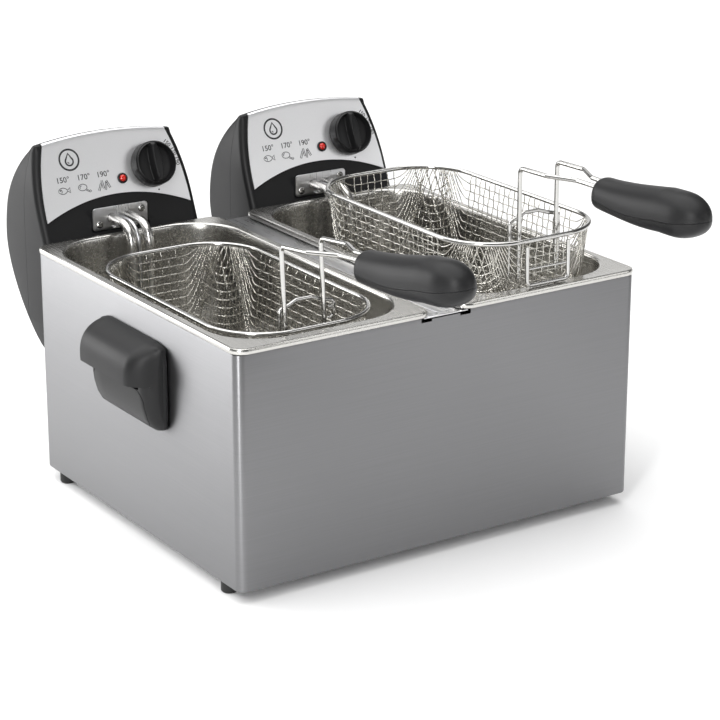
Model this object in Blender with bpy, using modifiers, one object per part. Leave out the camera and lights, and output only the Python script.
"""Twin deep fryer: one steel casing, two lift-out tanks, two control heads, two wire baskets.

Metres, +Z up, front towards -Y. The origin is on the table, in the middle of the footprint.
Every sub-part is one object. Empties stand at the casing's centre line, at each cell's centre,
on each sloping control panel and at the middle of each basket's rim.
"""

import math

import bmesh
import bpy
from mathutils import Matrix, Vector
from mathutils.geometry import interpolate_bezier

# Driving dimensions --------------------------------------------------------------------------
GAP = 0.0003                    # between pieces that touch
CASING_Y = 0.0377               # casing centre behind the middle of the footprint

CASING_W = 0.380
CASING_D = 0.328
CASING_LOW = 0.0100
CASING_TOP = 0.2018
BRIDGE_HX = 0.0208
BRIDGE_TOP = 0.2015
BRIDGE_T = 0.0008
CASING_R = 0.0075
SHEET = 0.001
FOOT_X = 0.1815
FOOT_FRONT = -0.1335
FOOT_REAR = 0.1400
FOOT_STEM = 0.0029

CELL_X = 0.1025                 # each tank, head and basket sits this far from the middle
RIM_Z = 0.2068                  # top of the tank flanges
FLANGE_HX = 0.0888
FLANGE_HY = 0.1664
FLANGE_R = 0.012
OPENING_HX = 0.0802
OPENING_HY = 0.1567
OPENING_Y = 0.0032
OPENING_R = 0.044
TANK_FLOOR = 0.0900

FACE_Y = 0.1790                 # lower edge of the control panel
FACE_Z = 0.2199
FACE_LEAN = math.radians(23.2)  # panel leans back from the vertical
FACE_H = 0.0665
HEAD_HX = 0.0755
HEAD_LOW = 0.106
HEAD_TOP = 0.2812
HEAD_FRONT = 0.1675
HEAD_SEAM = 0.2110
HEAD_WALL = 0.0025
TOP_ARCH = 0.0055

KNOB_X = 0.0385
KNOB_S = 0.0362
KNOB_R = 0.0198
LAMP_X = 0.0086
LAMP_S = 0.0285
RESET_X = -0.022
RESET_Z = 0.199
GLAND_X = 0.040
GLAND_Z = 0.193

TUBE_R = 0.004
TUBE_X = 0.0085
TUBE_Z = 0.2175
SENSOR_R = 0.0017
ELEMENT_X = -0.002
ELEMENT_Z = 0.1108

BASKET_HX = 0.0712
BASKET_HY = 0.1255
BASKET_R = 0.050
BASKET_DEPTH = 0.0860
BASKET_WALL = 0.0012
RIM_WIRE = 0.0019
BASKET_PLACE = {"left": (-0.0145, 0.2025), "right": (-0.0315, 0.2445)}   # rim centre: y, z
FORK_X = 0.0185
FORK_IN = 0.0125                # fork uprights stand this far inside the rim's outer edge
FORK_WIRE = 0.0019
FORK_TOP = 0.0575
GRIP_NECK = -0.0755             # from the uprights to the grip's neck and its far end, along Y
GRIP_END = -0.2000
HANDLE_PLAY = {                 # how each handle sits in its bracket: shift X and Z, tilt, swing
    "left": (-0.005, 0.007, math.radians(3.5), math.radians(4.0)),
    "right": (0.0, 0.0, 0.0, 0.0),
}

HOOD_LENGTH = 0.097             # side handles
HOOD_LIP = 0.1490
HOOD_WALL = 0.003
POCKET_BACK = 0.0095
PLATE_FACE = 0.0062
HOOD_STATIONS = (               # share of the length from an end, how far the section has swelled
    (0.0, 0.30), (0.012, 0.62), (0.040, 0.84), (0.085, 0.96), (0.14, 1.0))
HEAD_LEVELS = (0, 0.12, 0.3, 0.5, 0.565, 0.66, 0.78, 0.88, 0.95, 1)
CAVITY_LEVELS = (0, 0.12, 0.3, 0.5, 0.565, 0.75, 0.9, 1)
GRIP_STATIONS = (               # share of length, half width, height above and below the seam
    (0.00, 0.0060, 0.0080, 0.0050), (0.03, 0.0095, 0.0125, 0.0070), (0.10, 0.0120, 0.0155, 0.0084),
    (0.28, 0.0138, 0.0182, 0.0080), (0.50, 0.0156, 0.0210, 0.0090), (0.72, 0.0172, 0.0228, 0.0106),
    (0.88, 0.0170, 0.0212, 0.0106), (0.96, 0.0134, 0.0158, 0.0086), (1.00, 0.0080, 0.0092, 0.0052))

SIDES = {"left": -1, "right": 1}

FINISHES = {                    # colour, roughness, metallic
    "brushed_steel": ((0.52, 0.52, 0.53), 0.34, 1.0),
    "satin_steel": ((0.60, 0.60, 0.60), 0.28, 1.0),
    "chrome_wire": ((0.72, 0.72, 0.71), 0.16, 1.0),
    "panel_silver": ((0.66, 0.66, 0.67), 0.38, 0.7),
    "charcoal_plastic": ((0.045, 0.045, 0.047), 0.48, 0.0),
    "black_plastic": ((0.012, 0.012, 0.013), 0.36, 0.0),
    "black_rubber": ((0.020, 0.020, 0.020), 0.75, 0.0),
    "red_lens": ((0.60, 0.02, 0.01), 0.20, 0.0),
    "heater_metal": ((0.45, 0.44, 0.42), 0.30, 1.0),
    "cream_ceramic": ((0.70, 0.66, 0.56), 0.60, 0.0),
    "brass": ((0.62, 0.46, 0.20), 0.30, 1.0),
}


# Scene and collections -----------------------------------------------------------------------
def clear_scene():
    for item in list(bpy.data.objects):
        bpy.data.objects.remove(item, do_unlink=True)


def new_collection(name):
    collection = bpy.data.collections.new(name)
    bpy.context.scene.collection.children.link(collection)
    return collection


clear_scene()
PARTS = new_collection("deep_fryer")
CUTTERS = new_collection("cutters")


def make_material(name, finish):
    colour, roughness, metallic = FINISHES[finish]
    material = bpy.data.materials.new(name + "_" + finish)
    material.use_nodes = True
    shader = material.node_tree.nodes["Principled BSDF"]
    shader.inputs["Base Color"].default_value = (*colour, 1.0)
    shader.inputs["Roughness"].default_value = roughness
    shader.inputs["Metallic"].default_value = metallic
    return material


def add_empty(name, parent, location=(0, 0, 0), rotation=(0, 0, 0)):
    empty = bpy.data.objects.new(name, None)
    empty.empty_display_size = 0.02
    empty.parent = parent
    empty.location = location
    empty.rotation_euler = rotation
    PARTS.objects.link(empty)
    return empty


def add_part(name, data, finish, parent, location=(0, 0, 0), rotation=(0, 0, 0)):
    part = bpy.data.objects.new(name, data)
    part.parent = parent
    part.location = location
    part.rotation_euler = rotation
    data.materials.append(make_material(name, finish))
    PARTS.objects.link(part)
    return part


def add_cutter(name, data, parent, location=(0, 0, 0), rotation=(0, 0, 0)):
    cutter = bpy.data.objects.new(name, data)
    cutter.parent = parent
    cutter.location = location
    cutter.rotation_euler = rotation
    cutter.hide_render = True
    cutter.display_type = "WIRE"
    CUTTERS.objects.link(cutter)
    return cutter


# Shapes --------------------------------------------------------------------------------------
def to_mesh(bm, name):
    mesh = bpy.data.meshes.new(name)
    bm.to_mesh(mesh)
    bm.free()
    return mesh


def smooth(mesh, angle=35):
    mesh.shade_smooth()
    mesh.set_sharp_from_angle(angle=math.radians(angle))
    return mesh


def box_mesh(name, low, high):
    low = Vector(low)
    high = Vector(high)
    bm = bmesh.new()
    bmesh.ops.create_cube(bm, size=1.0)
    bmesh.ops.scale(bm, vec=high - low, verts=bm.verts)
    bmesh.ops.translate(bm, vec=(low + high) / 2, verts=bm.verts)
    return to_mesh(bm, name)


def cylinder_mesh(name, radius, low, high, sides=24, turn=None):
    """A cylinder on Z from low to high, turned afterwards by a matrix if one is given."""
    bm = bmesh.new()
    bmesh.ops.create_cone(bm, cap_ends=True, segments=sides, radius1=radius, radius2=radius,
                          depth=high - low)
    bmesh.ops.translate(bm, vec=(0, 0, (low + high) / 2), verts=bm.verts)
    if turn is not None:
        bmesh.ops.transform(bm, matrix=turn, verts=bm.verts)
    return smooth(to_mesh(bm, name))


def rounded_ring(half_x, half_y, radius, z, centre_y=0.0, steps=4):
    """Points of a rounded rectangle at height z, anticlockwise seen from above."""
    ring = []
    corners = ((1, 1, 0), (-1, 1, 90), (-1, -1, 180), (1, -1, 270))
    for sign_x, sign_y, start in corners:
        for step in range(steps + 1):
            angle = math.radians(start + 90 * step / steps)
            x = sign_x * (half_x - radius) + radius * math.cos(angle)
            y = sign_y * (half_y - radius) + radius * math.sin(angle)
            ring.append(Vector((x, y + centre_y, z)))
    return ring


def loft(name, rings, close_first=False, close_last=False):
    """Skin over closed rings of equal count; a skin that winds upwards faces outwards."""
    bm = bmesh.new()
    loops = [[bm.verts.new(point) for point in ring] for ring in rings]
    count = len(loops[0])
    for lower, upper in zip(loops, loops[1:]):
        for i in range(count):
            j = (i + 1) % count
            bm.faces.new((lower[i], lower[j], upper[j], upper[i]))
    if close_first:
        bm.faces.new(list(reversed(loops[0])))
    if close_last:
        bm.faces.new(loops[-1])
    if close_first and close_last:
        bmesh.ops.recalc_face_normals(bm, faces=bm.faces)
    return smooth(to_mesh(bm, name))


def outline_curve(name, outlines, thickness):
    """A flat plate in XY, centred on Z = 0; outlines after the first are its holes."""
    curve = bpy.data.curves.new(name, "CURVE")
    curve.dimensions = "2D"
    curve.fill_mode = "BOTH"
    curve.extrude = thickness / 2
    for outline in outlines:
        spline = curve.splines.new("POLY")
        spline.points.add(len(outline) - 1)
        for point, (x, y) in zip(spline.points, outline):
            point.co = (x, y, 0, 1)
        spline.use_cyclic_u = True
    return curve


def wire_curve(name, path, radius, closed=False, resolution=2):
    curve = bpy.data.curves.new(name, "CURVE")
    curve.dimensions = "3D"
    curve.bevel_depth = radius
    curve.bevel_resolution = resolution
    curve.use_fill_caps = not closed
    spline = curve.splines.new("POLY")
    spline.points.add(len(path) - 1)
    for point, place in zip(spline.points, path):
        point.co = (*place, 1)
    spline.use_cyclic_u = closed
    spline.use_smooth = True
    return curve


def circle_points(radius, centre=(0, 0), count=12):
    turns = [2 * math.pi * i / count for i in range(count)]
    return [(centre[0] + radius * math.cos(a), centre[1] + radius * math.sin(a)) for a in turns]


def rounded_path(corners, radius, steps=3):
    """An open path through the corners, each one rounded to the radius."""
    corners = [Vector(corner) for corner in corners]
    path = [corners[0]]
    for before, corner, after in zip(corners, corners[1:], corners[2:]):
        back = (before - corner).normalized()
        ahead = (after - corner).normalized()
        half = back.angle(ahead) / 2
        reach = radius / math.tan(half)
        centre = corner + (back + ahead).normalized() * radius / math.sin(half)
        start = (corner + back * reach - centre).normalized()
        end = (corner + ahead * reach - centre).normalized()
        sweep = start.angle(end)
        for step in range(steps + 1):
            share = step / steps
            first = math.sin((1 - share) * sweep) / math.sin(sweep)
            second = math.sin(share * sweep) / math.sin(sweep)
            path.append(centre + (start * first + end * second) * radius)
    path.append(corners[-1])
    return path


def turned(name, profile, finish, parent, location=(0, 0, 0), rotation=(0, 0, 0), steps=20):
    """A turned piece: profile points (radius, z) run down its outer side, axis to axis."""
    bm = bmesh.new()
    verts = [bm.verts.new((radius, 0, z)) for radius, z in profile]
    for upper, lower in zip(verts, verts[1:]):
        bm.edges.new((upper, lower))
    part = add_part(name, to_mesh(bm, name), finish, parent, location, rotation)
    screw = part.modifiers.new("Turn", "SCREW")
    screw.axis = "Z"
    screw.steps = steps
    screw.render_steps = steps
    screw.use_merge_vertices = True
    screw.merge_threshold = 0.00001
    screw.use_smooth_shade = False
    return part


def solidify(part, thickness, offset=-1.0):
    shell = part.modifiers.new("Sheet", "SOLIDIFY")
    shell.thickness = thickness
    shell.offset = offset
    shell.use_even_offset = True
    return part


def combine(part, cutter, operation="DIFFERENCE"):
    boolean = part.modifiers.new(cutter.name, "BOOLEAN")
    boolean.operation = operation
    boolean.solver = "EXACT"
    boolean.object = cutter
    return part


def cut_box(part, name, low, high):
    cutter = add_cutter(name, box_mesh(name, low, high), part.parent)
    return combine(part, cutter)


# Casing --------------------------------------------------------------------------------------
def casing_shell(root):
    """Folded sheet: bottom lip, four walls and an inward ledge that carries the tanks."""
    half_x = CASING_W / 2
    half_y = CASING_D / 2
    lips = ((0.005, CASING_LOW), (0.0, CASING_LOW), (0.0, CASING_TOP), (0.0028, CASING_TOP))
    rings = []
    for inset, z in lips:
        radius = max(CASING_R - inset, 0.002)
        rings.append(rounded_ring(half_x - inset, half_y - inset, radius, z, steps=3))
    shell = add_part("casing_shell", loft("casing_shell", rings), "brushed_steel", root)
    solidify(shell, SHEET)
    seat = BRIDGE_TOP - BRIDGE_T - GAP
    wide = BRIDGE_HX + GAP
    cut_box(shell, "bridge_seat", (-wide, -half_y - 0.002, seat), (wide, half_y + 0.002, 0.21))
    for sign in (-1, 1):
        name = "bridge_notch_" + ("left" if sign < 0 else "right")
        low = (sign * 0.0185 - 0.005, -half_y - 0.002, seat - 0.0026)
        high = (sign * 0.0185 + 0.005, -half_y + 0.007, seat + 0.002)
        cut_box(shell, name, low, high)
    return shell


def base_plate(root):
    half_x = CASING_W / 2 - SHEET - GAP
    half_y = CASING_D / 2 - SHEET - GAP
    radius = CASING_R - SHEET
    outline = [(p.x, p.y) for p in rounded_ring(half_x, half_y, radius, 0, steps=3)]
    holes = [circle_points(FOOT_STEM + 0.0004, place, 10) for place in foot_places()]
    for row in range(3):
        for sign in (-1, 1):
            x = sign * 0.055
            y = -0.04 + 0.04 * row
            slot = rounded_ring(0.022, 0.003, 0.0028, 0, steps=2)
            holes.append([(p.x + x, p.y + y) for p in slot])
    plate = outline_curve("base_plate", [outline] + holes, SHEET)
    z = CASING_LOW + SHEET + GAP + SHEET / 2
    return add_part("base_plate", plate, "brushed_steel", root, (0, 0, z))


def foot_places():
    return [(sign * FOOT_X, y) for y in (FOOT_FRONT, FOOT_REAR) for sign in (-1, 1)]


def feet(root):
    """Rubber feet, each held by a barbed stem pushed up through the base plate."""
    barb = CASING_LOW + SHEET + GAP + SHEET + GAP
    top = CASING_LOW - GAP
    names = ("foot_front_left", "foot_front_right", "foot_rear_left", "foot_rear_right")
    profile = ((0, barb + 0.0035), (0.0024, barb + 0.0030), (0.0042, barb), (FOOT_STEM, barb),
               (FOOT_STEM, top), (0.0068, top), (0.0070, 0.0010), (0.0062, 0.0), (0, 0.0))
    for name, place in zip(names, foot_places()):
        turned(name, profile, "black_rubber", root, (*place, 0), steps=12)


def centre_bridge(root):
    """Channel strip between the two tanks, let into the casing's front and back edges."""
    low_z = BRIDGE_TOP - BRIDGE_T
    half_y = CASING_D / 2 - 0.0002
    strip = box_mesh("centre_bridge", (-BRIDGE_HX, -half_y, low_z), (BRIDGE_HX, half_y, BRIDGE_TOP))
    strip = add_part("centre_bridge", strip, "satin_steel", root)
    inside = CASING_D / 2 - 0.0045
    for sign in (-1, 1):
        name = "bridge_web_" + ("left" if sign < 0 else "right")
        low = (sign * 0.0187 - 0.0005, -inside, low_z - 0.010)
        high = (sign * 0.0187 + 0.0005, inside, low_z + 0.0004)
        web = add_cutter(name, box_mesh(name, low, high), root)
        combine(strip, web, "UNION")
    return strip


def hood_curve(steps=8):
    """Section of the hood from the wall out to its lip, as (out, height) points."""
    knots = ((GAP, 0.1812, 0), (0.016, 0.1805, 0), (0.0290, 0.1730, 0), (0.0300, 0.1560, 0))
    return [tuple(p)[:2] for p in interpolate_bezier(*knots, steps)]


def hood_rings(inset, low):
    """Sections along the hood; both ends close in towards the wall."""
    root_x = POCKET_BACK if inset else GAP
    curve = [(out - inset, up - inset) for out, up in hood_curve() if out - inset >= root_x]
    if inset:
        curve = [(root_x, curve[0][1] + 0.0002)] + curve
    section = curve + [(curve[-1][0], low), (root_x, low)]
    half = HOOD_LENGTH / 2 - inset
    stations = [(share - 1, swell) for share, swell in HOOD_STATIONS]
    stations += [(-share, swell) for share, swell in reversed(stations)]
    rings = []
    for share, swell in stations:
        ring = []
        for out, up in section:
            top = low + (up - low) * (0.6 + 0.4 * swell)
            ring.append(Vector((root_x + (out - root_x) * swell, share * half, top)))
        rings.append(ring)
    return rings


def side_handle(root, side):
    """Hood with a finger pocket underneath, on a plate that lies on the casing's side."""
    frame = add_empty("side_handle_frame_" + side, root, (SIDES[side] * CASING_W / 2, -0.011, 0),
                      (0, 0, 0 if side == "right" else math.pi))
    name = "side_handle_" + side
    hood = add_part(name, loft(name, hood_rings(0, HOOD_LIP), True, True), "charcoal_plastic",
                    frame)
    plate = add_cutter("side_plate_" + side,
                       box_mesh("side_plate", (GAP * 1.1, -HOOD_LENGTH / 2 + 0.001, 0.1105),
                                (PLATE_FACE, HOOD_LENGTH / 2 - 0.001, 0.1660)), frame)
    pocket = add_cutter("side_pocket_" + side,
                        loft("side_pocket", hood_rings(HOOD_WALL, HOOD_LIP - 0.004), True, True),
                        frame)
    combine(hood, plate, "UNION")
    combine(hood, pocket)
    curve = [tuple(p)[:2] for p in interpolate_bezier(
        (0.0175, 0.1450, 0), (0.0175, 0.1330, 0), (0.0150, 0.1200, 0), (0.0085, 0.1125, 0), 6)]
    wall = PLATE_FACE + GAP
    outline = [(wall, 0.1450), (wall, 0.1125)] + list(reversed(curve))
    insert = outline_curve("side_handle_insert_" + side, [outline], HOOD_LENGTH - 0.020)
    add_part("side_handle_insert_" + side, insert, "black_plastic", frame, (0, 0, 0),
             (math.pi / 2, 0, 0))


# Tanks ---------------------------------------------------------------------------------------
def tank(cell, side):
    """Deep-drawn pan: curled skirt, flat flange, rounded opening, tapering walls and floor."""
    def flange(inset, z):
        return rounded_ring(FLANGE_HX - inset, FLANGE_HY - inset, FLANGE_R - inset, z)

    def wall(inset, z):
        return rounded_ring(OPENING_HX - inset, OPENING_HY - inset, OPENING_R - inset, z,
                            centre_y=OPENING_Y)

    rings = [flange(0.0024, RIM_Z - 0.0036), flange(0.0004, RIM_Z - 0.0046),
             flange(0.0, RIM_Z - 0.0016), flange(0.0016, RIM_Z),
             wall(-0.0022, RIM_Z), wall(-0.0004, RIM_Z - 0.0008),
             wall(0.0002, RIM_Z - 0.004), wall(0.0035, TANK_FLOOR + 0.016),
             wall(0.0075, TANK_FLOOR + 0.006), wall(0.0150, TANK_FLOOR + 0.0008),
             wall(0.0240, TANK_FLOOR)]
    pan = add_part("tank_" + side, loft("tank_" + side, rings, close_last=True),
                   "satin_steel", cell)
    return solidify(pan, 0.0008)


# Control heads -------------------------------------------------------------------------------
def slope_y(z):
    """Front of the head at height z: upright below the rim, leaning back above it."""
    line = FACE_Y + (z - FACE_Z) * math.tan(FACE_LEAN)
    return max(HEAD_FRONT, line)


def back_profile(steps=7):
    """The head's rounded back, as (y, z) points from its underside to its top."""
    knots = (((0.1810, 0.106), (0.2050, 0.110), (0.2535, 0.160), (0.2535, 0.196)),
             ((0.2535, 0.196), (0.2535, 0.232), (0.2340, 0.264), (0.2110, HEAD_TOP)))
    points = []
    for first, handle_1, handle_2, last in knots:
        ends = [(*pair, 0) for pair in (first, handle_1, handle_2, last)]
        points += [tuple(p)[:2] for p in interpolate_bezier(*ends, steps)]
    return points


def back_y(z):
    points = back_profile()
    for (y0, z0), (y1, z1) in zip(points, points[1:]):
        if z0 <= z <= z1 and z1 > z0:
            return y0 + (y1 - y0) * (z - z0) / (z1 - z0)
    return points[-1][0] if z > points[-1][1] else points[0][0]


def head_half_width(z):
    rise = max(0.0, (z - 0.222) / (HEAD_TOP - 0.222))
    return HEAD_HX - 0.0125 * rise ** 2.2


def head_ring(z, inset, corner=0.006, steps=2, spans=5):
    """One level of the head: rounded rectangle, its long sides divided so they can arch."""
    half = head_half_width(z) - inset
    front = slope_y(z) + inset
    back = max(back_y(z) - inset, front + 0.002)
    radius = min(corner, (back - front) * 0.45)
    rise = max(0.0, (z - FACE_Z) / (HEAD_TOP - FACE_Z))
    ring = []
    corners = ((1, back, 0), (-1, back, 90), (-1, front, 180), (1, front, 270))
    for number, (sign, edge, start) in enumerate(corners):
        inward = -1 if edge == back else 1
        for step in range(steps + 1):
            angle = math.radians(start + 90 * step / steps)
            x = sign * (half - radius) + radius * math.cos(angle)
            y = edge + inward * radius + radius * math.sin(angle)
            ring.append(Vector((x, y, z)))
        if number in (0, 2):
            for span in range(1, spans):
                ring.append(Vector((sign * (half - radius) * (1 - 2 * span / spans), edge, z)))
    for point in ring:
        lift = TOP_ARCH * rise ** 2 * (1 - (point.x / half) ** 2)
        point.y += lift * math.sin(FACE_LEAN)
        point.z += lift * math.cos(FACE_LEAN)
    return ring


def head_body(name, inset, levels):
    low = HEAD_LOW + inset
    high = HEAD_TOP - inset
    heights = [low + (high - low) * share for share in levels]
    return loft(name, [head_ring(z, inset) for z in heights], True, True)


def face_point(x, s, n=0.0):
    """A point on the sloping panel: across, up the slope and out along its normal."""
    y = FACE_Y + s * math.sin(FACE_LEAN) - n * math.cos(FACE_LEAN)
    z = FACE_Z + s * math.cos(FACE_LEAN) + n * math.sin(FACE_LEAN)
    return Vector((x, y, z))


def head_housing(cell, face, side):
    """Front shell: open at the seam, with holes for knob shaft, lamp, plate and rail."""
    name = "head_housing_" + side
    shell = add_part(name, head_body(name, 0, HEAD_LEVELS), "charcoal_plastic", cell)
    cavity = add_cutter("head_cavity_" + side, head_body("head_cavity", HEAD_WALL, CAVITY_LEVELS),
                        cell)
    rear = add_cutter("rear_half_" + side,
                      box_mesh("rear_half", (-0.09, HEAD_SEAM - GAP / 2, 0.09),
                               (0.09, 0.28, 0.31)), cell)
    for hole, radius, x, s in (("shaft", 0.0052, KNOB_X, KNOB_S), ("lamp", 0.0048, LAMP_X, LAMP_S)):
        drill = add_cutter(hole + "_drill_" + side,
                           cylinder_mesh("drill", radius, -0.012, 0.006, 12), face, (x, s, 0))
        combine(shell, drill)
    cut_box(shell, "plate_recess_" + side, (ELEMENT_X - 0.0285, 0.160, 0.2062),
            (ELEMENT_X + 0.0285, 0.1760, 0.2290))
    turn = Matrix.Rotation(-math.pi / 2, 4, "X")
    for tube, x, radius in (("a", -TUBE_X, TUBE_R), ("b", TUBE_X, TUBE_R), ("c", 0, SENSOR_R)):
        drill = cylinder_mesh("tube_drill", radius + 0.0004, 0.165, 0.200, 12, turn)
        combine(shell, add_cutter("tube_drill_%s_%s" % (tube, side), drill, cell,
                                  (ELEMENT_X + x, 0, TUBE_Z)))
    cut_box(shell, "rail_slot_" + side, (-0.0045, 0.160, 0.100), (0.0045, 0.1715, 0.1780))
    cut_box(shell, "rail_notch_" + side, (-0.0096, 0.1690, 0.100), (0.0096, 0.1742, 0.1092))
    combine(shell, cavity)
    return combine(shell, rear)


def rear_cover(cell, side):
    name = "rear_cover_" + side
    shell = add_part(name, head_body(name, 0, HEAD_LEVELS), "charcoal_plastic", cell)
    front = add_cutter("front_half_" + side,
                       box_mesh("front_half", (-0.09, 0.15, 0.09),
                                (0.09, HEAD_SEAM + GAP / 2, 0.31)), cell)
    turn = Matrix.Rotation(-math.pi / 2, 4, "X")
    for hole, radius, x, z in (("reset", 0.0049, RESET_X, RESET_Z),
                               ("gland", 0.0062, GLAND_X, GLAND_Z)):
        drill = cylinder_mesh("drill", radius, 0.225, 0.270, 12, turn)
        combine(shell, add_cutter(hole + "_drill_" + side, drill, cell, (x, 0, z)))
    combine(shell, bpy.data.objects["head_cavity_" + side])
    return combine(shell, front)


def panel_half_width(s):
    return 0.0708 - 0.0100 * max(0.0, s / FACE_H) ** 2.2


def fascia(face, side):
    """Silver panel plate with an arched foot, an arched top and two holes."""
    outline = []
    steps = 12
    for i in range(steps + 1):
        share = 2 * i / steps - 1
        outline.append((share * panel_half_width(0), 0.0163 * (1 - share * share)))
    for i in range(1, 6):
        s = FACE_H * i / 5
        outline.append((panel_half_width(s), s))
    for i in range(1, steps):
        share = 1 - 2 * i / steps
        outline.append((share * panel_half_width(FACE_H), FACE_H + 0.0045 * (1 - share * share)))
    for i in range(5, 0, -1):
        s = FACE_H * i / 5
        outline.append((-panel_half_width(s), s))
    holes = [circle_points(0.0046, (KNOB_X, KNOB_S)), circle_points(0.0046, (LAMP_X, LAMP_S))]
    plate = outline_curve("fascia_" + side, [outline] + holes, 0.0010)
    add_part("fascia_" + side, plate, "panel_silver", face, (0, 0, GAP + 0.0005))


def knob(face, side):
    """Dished knob with a finger ridge across it; its origin is on the turning axis."""
    name = "knob_" + side
    base = 0.0018
    profile = ((0, base + 0.0118), (0.0150, base + 0.0112), (0.0170, base + 0.0100),
               (KNOB_R - 0.0006, base + 0.0030), (KNOB_R, base + 0.0006), (KNOB_R - 0.0006, base),
               (0, base))
    body = turned(name, profile, "black_plastic", face, (KNOB_X, KNOB_S, 0), steps=20)
    ridge = add_cutter("knob_ridge_" + side,
                       box_mesh("knob_ridge", (-0.0032, -0.0160, base + 0.004),
                                (0.0032, 0.0160, base + 0.0165)), body)
    bore = add_cutter("knob_bore_" + side,
                      cylinder_mesh("knob_bore", 0.0034, -0.002, base + 0.0088, 16), body)
    combine(body, ridge, "UNION")
    combine(body, bore)
    return body


def thermostat(face, side):
    """Capillary thermostat behind the panel: cased switch, threaded neck and shaft."""
    name = "thermostat_" + side
    case = box_mesh(name, (-0.016, -0.014, -0.0230), (0.016, 0.014, -HEAD_WALL - GAP))
    body = add_part(name, case, "brass", face, (KNOB_X, KNOB_S, 0))
    neck = add_cutter("thermostat_neck_" + side,
                      cylinder_mesh("neck", 0.0042, -0.006, 0.0012, 16), body)
    shaft = add_cutter("thermostat_shaft_" + side,
                       cylinder_mesh("shaft", 0.0030, -0.005, 0.0100, 16), body)
    combine(body, neck, "UNION")
    combine(body, shaft, "UNION")


def pilot_lamp(face, side):
    profile = ((0, 0.0050), (0.0022, 0.0046), (0.0036, 0.0032), (0.0040, 0.0026), (0.0056, 0.0026),
               (0.0056, 0.0017), (0.0042, 0.0017), (0.0042, -0.0150), (0, -0.0150))
    turned("pilot_lamp_" + side, profile, "red_lens", face, (LAMP_X, LAMP_S, 0), steps=12)


def element_plate(cell, side):
    """Steel plate that carries the heating element, screwed into the housing's recess."""
    outline = [(p.x, p.y) for p in rounded_ring(0.0265, 0.0100, 0.003, 0, steps=2)]
    holes = [circle_points(TUBE_R + 0.0004, (sign * TUBE_X, 0), 12) for sign in (-1, 1)]
    holes += [circle_points(0.0018, place, 8) for place in plate_screw_places()]
    holes.append(circle_points(SENSOR_R + 0.0004, (0, 0), 8))
    plate = outline_curve("element_plate_" + side, [outline] + holes, 0.0012)
    add_part("element_plate_" + side, plate, "satin_steel", cell,
             (ELEMENT_X, 0.1760 - GAP - 0.0006, TUBE_Z), (math.pi / 2, 0, 0))


def plate_screw_places():
    return ((-0.0205, -0.0045), (0.0205, 0.0045))


def plate_screws(cell, side):
    """Pan-head screws of the element plate, their points in the housing's wall."""
    profile = ((0, 0.0020), (0.0016, 0.0018), (0.0030, 0.0008), (0.0032, 0.0), (0.0015, 0.0),
               (0.0015, -0.0012), (0, -0.0012))
    for number, (x, up) in enumerate(plate_screw_places()):
        front = 0.1760 - 2 * GAP - 0.0012
        turned("plate_screw_%s_%s" % ("ab"[number], side), profile, "chrome_wire", cell,
               (ELEMENT_X + x, front, TUBE_Z + up), (math.pi / 2, 0, 0), steps=8)


def heating_element(cell, side):
    """One bent tube: out of the head, down the tank's back and round under the basket."""
    half = [(TUBE_X, 0.1900, TUBE_Z), (TUBE_X, 0.1385, TUBE_Z), (TUBE_X, 0.1375, ELEMENT_Z),
            (0.050, 0.100, ELEMENT_Z), (0.050, -0.100, ELEMENT_Z)]
    corners = half + [(-x, y, z) for x, y, z in reversed(half)]
    path = rounded_path(corners, 0.018, 3)
    tube = wire_curve("heating_element_" + side, path, TUBE_R)
    add_part("heating_element_" + side, tube, "heater_metal", cell, (ELEMENT_X, 0, 0))


def element_clip(cell, side):
    """Small saddle that ties the two tubes together just in front of the plate."""
    z = TUBE_Z - TUBE_R - GAP
    low = (-0.013, 0.1610, z - 0.0012)
    high = (0.013, 0.1670, z)
    add_part("element_clip_" + side, box_mesh("element_clip", low, high), "satin_steel", cell,
             (ELEMENT_X, 0, 0))


def sensor_bulb(cell, side):
    """Thermostat feeler: a thin tube between the two heater tubes, down into the tank."""
    corners = [(0, 0.1885, TUBE_Z), (0, 0.1420, TUBE_Z), (0, 0.1412, 0.1300)]
    tube = wire_curve("sensor_bulb_" + side, rounded_path(corners, 0.018, 4), SENSOR_R)
    add_part("sensor_bulb_" + side, tube, "satin_steel", cell, (ELEMENT_X, 0, 0))


def cord_gland(cell, side):
    """Strain-relief collar in the rear cover; the mains lead itself is not part of the set."""
    at = back_y(GLAND_Z)
    profile = ((0, 0.0150), (0.0042, 0.0150), (0.0050, 0.0060), (0.0074, 0.0040), (0.0078, 0.0006),
               (0.0058, 0.0), (0.0058, -0.0105), (0, -0.0105))
    turned("cord_gland_" + side, profile, "black_rubber", cell, (GLAND_X, at + 0.0012, GLAND_Z),
           (-math.pi / 2, 0, 0), steps=12)


def reset_button(cell, side):
    """Overheat reset: a sprung plunger through the rear cover, with a collar inside it."""
    at = back_y(RESET_Z)
    profile = ((0, 0.0030), (0.0030, 0.0028), (0.0040, 0.0018), (0.0044, 0.0), (0.0044, -0.0036),
               (0.0062, -0.0036), (0.0062, -0.0048), (0.0030, -0.0048), (0.0030, -0.0110),
               (0, -0.0110))
    turned("reset_button_" + side, profile, "black_plastic", cell, (RESET_X, at, RESET_Z),
           (-math.pi / 2, 0, 0), steps=12)


def terminal_block(cell, side):
    """Ceramic terminal block and thermal cut-out, on a foot inside the head."""
    name = "terminal_block_" + side
    block = add_part(name, box_mesh(name, (-0.056, 0.186, 0.160), (-0.030, 0.202, 0.176)),
                     "cream_ceramic", cell)
    cutout = add_cutter("cutout_body_" + side,
                        box_mesh("cutout_body", (-0.050, 0.188, 0.175), (-0.036, 0.200, 0.190)),
                        cell)
    combine(block, cutout, "UNION")


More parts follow.
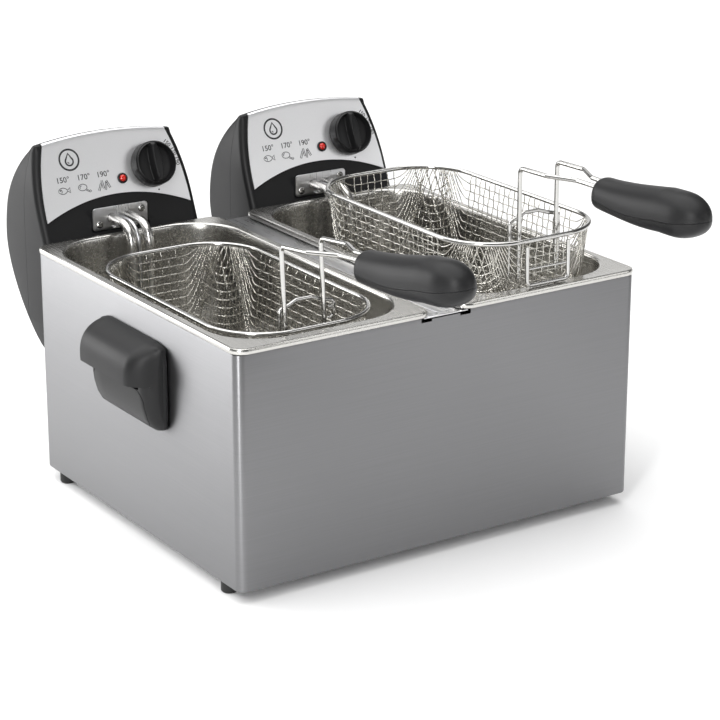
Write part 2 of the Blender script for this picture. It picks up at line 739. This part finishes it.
def head_rail(cell, side):
    """T-section rail on the casing's back; the head slides down over it."""
    y0 = CASING_D / 2 + GAP
    outline = ((-0.004, y0), (0.004, y0), (0.004, 0.1708), (0.009, 0.1708), (0.009, 0.1732),
               (-0.009, 0.1732), (-0.009, 0.1708), (-0.004, 0.1708))
    rail = outline_curve("head_rail_" + side, [outline], 0.058)
    add_part("head_rail_" + side, rail, "satin_steel", cell, (0, 0, 0.1465))


def control_head(cell, side):
    face = add_empty("panel_frame_" + side, cell, face_point(0, 0),
                     (math.pi / 2 - FACE_LEAN, 0, 0))
    head_housing(cell, face, side)
    rear_cover(cell, side)
    fascia(face, side)
    knob(face, side)
    thermostat(face, side)
    pilot_lamp(face, side)
    element_plate(cell, side)
    plate_screws(cell, side)
    heating_element(cell, side)
    element_clip(cell, side)
    sensor_bulb(cell, side)
    cord_gland(cell, side)
    reset_button(cell, side)
    terminal_block(cell, side)


# Baskets -------------------------------------------------------------------------------------
def basket_ring(inset, z):
    return rounded_ring(BASKET_HX - inset, BASKET_HY - inset, BASKET_R - inset, z, steps=5)


def basket_body(frame, side):
    """Tapered, open basket; the thin wall stands for the woven mesh."""
    rings = [basket_ring(0.0030, -RIM_WIRE - GAP), basket_ring(0.0105, -BASKET_DEPTH + 0.012),
             basket_ring(0.0130, -BASKET_DEPTH + 0.004), basket_ring(0.0210, -BASKET_DEPTH)]
    name = "basket_" + side
    body = add_part(name, loft(name, rings, close_last=True), "chrome_wire", frame)
    return solidify(body, BASKET_WALL)


def basket_rim(frame, side):
    ring = basket_ring(RIM_WIRE, 0)
    add_part("basket_rim_" + side, wire_curve("basket_rim", ring, RIM_WIRE, closed=True),
             "chrome_wire", frame)


def basket_bracket(frame, side):
    """Wire loop inside the front wall that holds the fork, its top bar above the rim."""
    inner = -BASKET_HY + FORK_IN + 0.0046
    half = [(0.0245, inner, -0.034), (0.0245, inner, 0.0140), (0.0070, inner + 0.004, 0.0175)]
    corners = half + [(-x, y, z) for x, y, z in reversed(half)]
    path = rounded_path(corners, 0.0035, 3)
    add_part("basket_bracket_" + side, wire_curve("basket_bracket", path, 0.0016), "chrome_wire",
             frame)


def hanging_hook(frame, side):
    """Wire stirrup outside the front wall; its foot rests on the tank's flange."""
    front = -BASKET_HY - 0.0021
    foot = -0.0357
    half = [(0.0205, front, -0.0045), (0.0205, front, foot)]
    corners = half + [(-x, y, z) for x, y, z in reversed(half)]
    path = rounded_path(corners, 0.004, 3)
    add_part("hanging_hook_" + side, wire_curve("hanging_hook", path, 0.0017), "chrome_wire",
             frame)


def fork(handle, side):
    """The handle's wire: two uprights, two arms that close in on the neck, one hairpin."""
    half = [(FORK_X, 0, -0.033), (FORK_X, 0, FORK_TOP), (FORK_X, -0.034, FORK_TOP + 0.001),
            (0.0075, -0.058, FORK_TOP + 0.001), (0.0060, -0.120, FORK_TOP + 0.001)]
    corners = half + [(-x, y, z) for x, y, z in reversed(half)]
    path = rounded_path(corners, 0.0045, 2)
    add_part("fork_wire_" + side, wire_curve("fork_wire", path, FORK_WIRE), "chrome_wire", handle)


def grip_seam_z(share):
    """Height of the line between the grip's two halves, against the fork's arms."""
    return -0.0068 - 0.0035 * math.sin(math.pi * min(1.0, share * 1.5)) + 0.0020 * share ** 2


def grip_half(handle, side, upper):
    """Half of the grip: D-shaped sections from neck to end, flat on the seam side."""
    rings = []
    steps = 8
    for share, half, above, below in GRIP_STATIONS:
        y = GRIP_NECK + (GRIP_END - GRIP_NECK) * share
        seam = FORK_TOP + grip_seam_z(share) + (GAP / 2 if upper else -GAP / 2)
        height = above if upper else -below
        turns = [math.pi * step / steps for step in range(steps + 1)]
        rings.append([Vector((half * math.cos(a), y, seam + height * math.sin(a)))
                      for a in turns])
    name = ("grip_upper_" if upper else "grip_lower_") + side
    return add_part(name, loft(name, rings, True, True),
                    "charcoal_plastic" if upper else "black_plastic", handle)


def grip(handle, side):
    """Two halves round the fork; the upper one has a channel for the wires."""
    top = grip_half(handle, side, True)
    grip_half(handle, side, False)
    arm = FORK_TOP + 0.001
    cut = box_mesh("fork_channel", (-0.0088, -0.1235, arm - 0.0024),
                   (0.0088, -0.0700, arm + 0.0024))
    combine(top, add_cutter("fork_channel_" + side, cut, handle))


def basket(cell, side):
    y, z = BASKET_PLACE[side]
    frame = add_empty("basket_frame_" + side, cell, (0, y, z))
    basket_body(frame, side)
    basket_rim(frame, side)
    basket_bracket(frame, side)
    hanging_hook(frame, side)
    shift, lift, tilt, swing = HANDLE_PLAY[side]
    handle = add_empty("handle_frame_" + side, frame, (shift, -BASKET_HY + FORK_IN, lift),
                       (-tilt, 0, swing))
    fork(handle, side)
    grip(handle, side)


def build():
    root = add_empty("fryer_frame", None, (0, CASING_Y, 0))
    casing_shell(root)
    base_plate(root)
    feet(root)
    centre_bridge(root)
    for side, sign in SIDES.items():
        side_handle(root, side)
        cell = add_empty("cell_" + side, root, (sign * CELL_X, 0, 0))
        head_rail(cell, side)
        tank(cell, side)
        control_head(cell, side)
        basket(cell, side)


build()
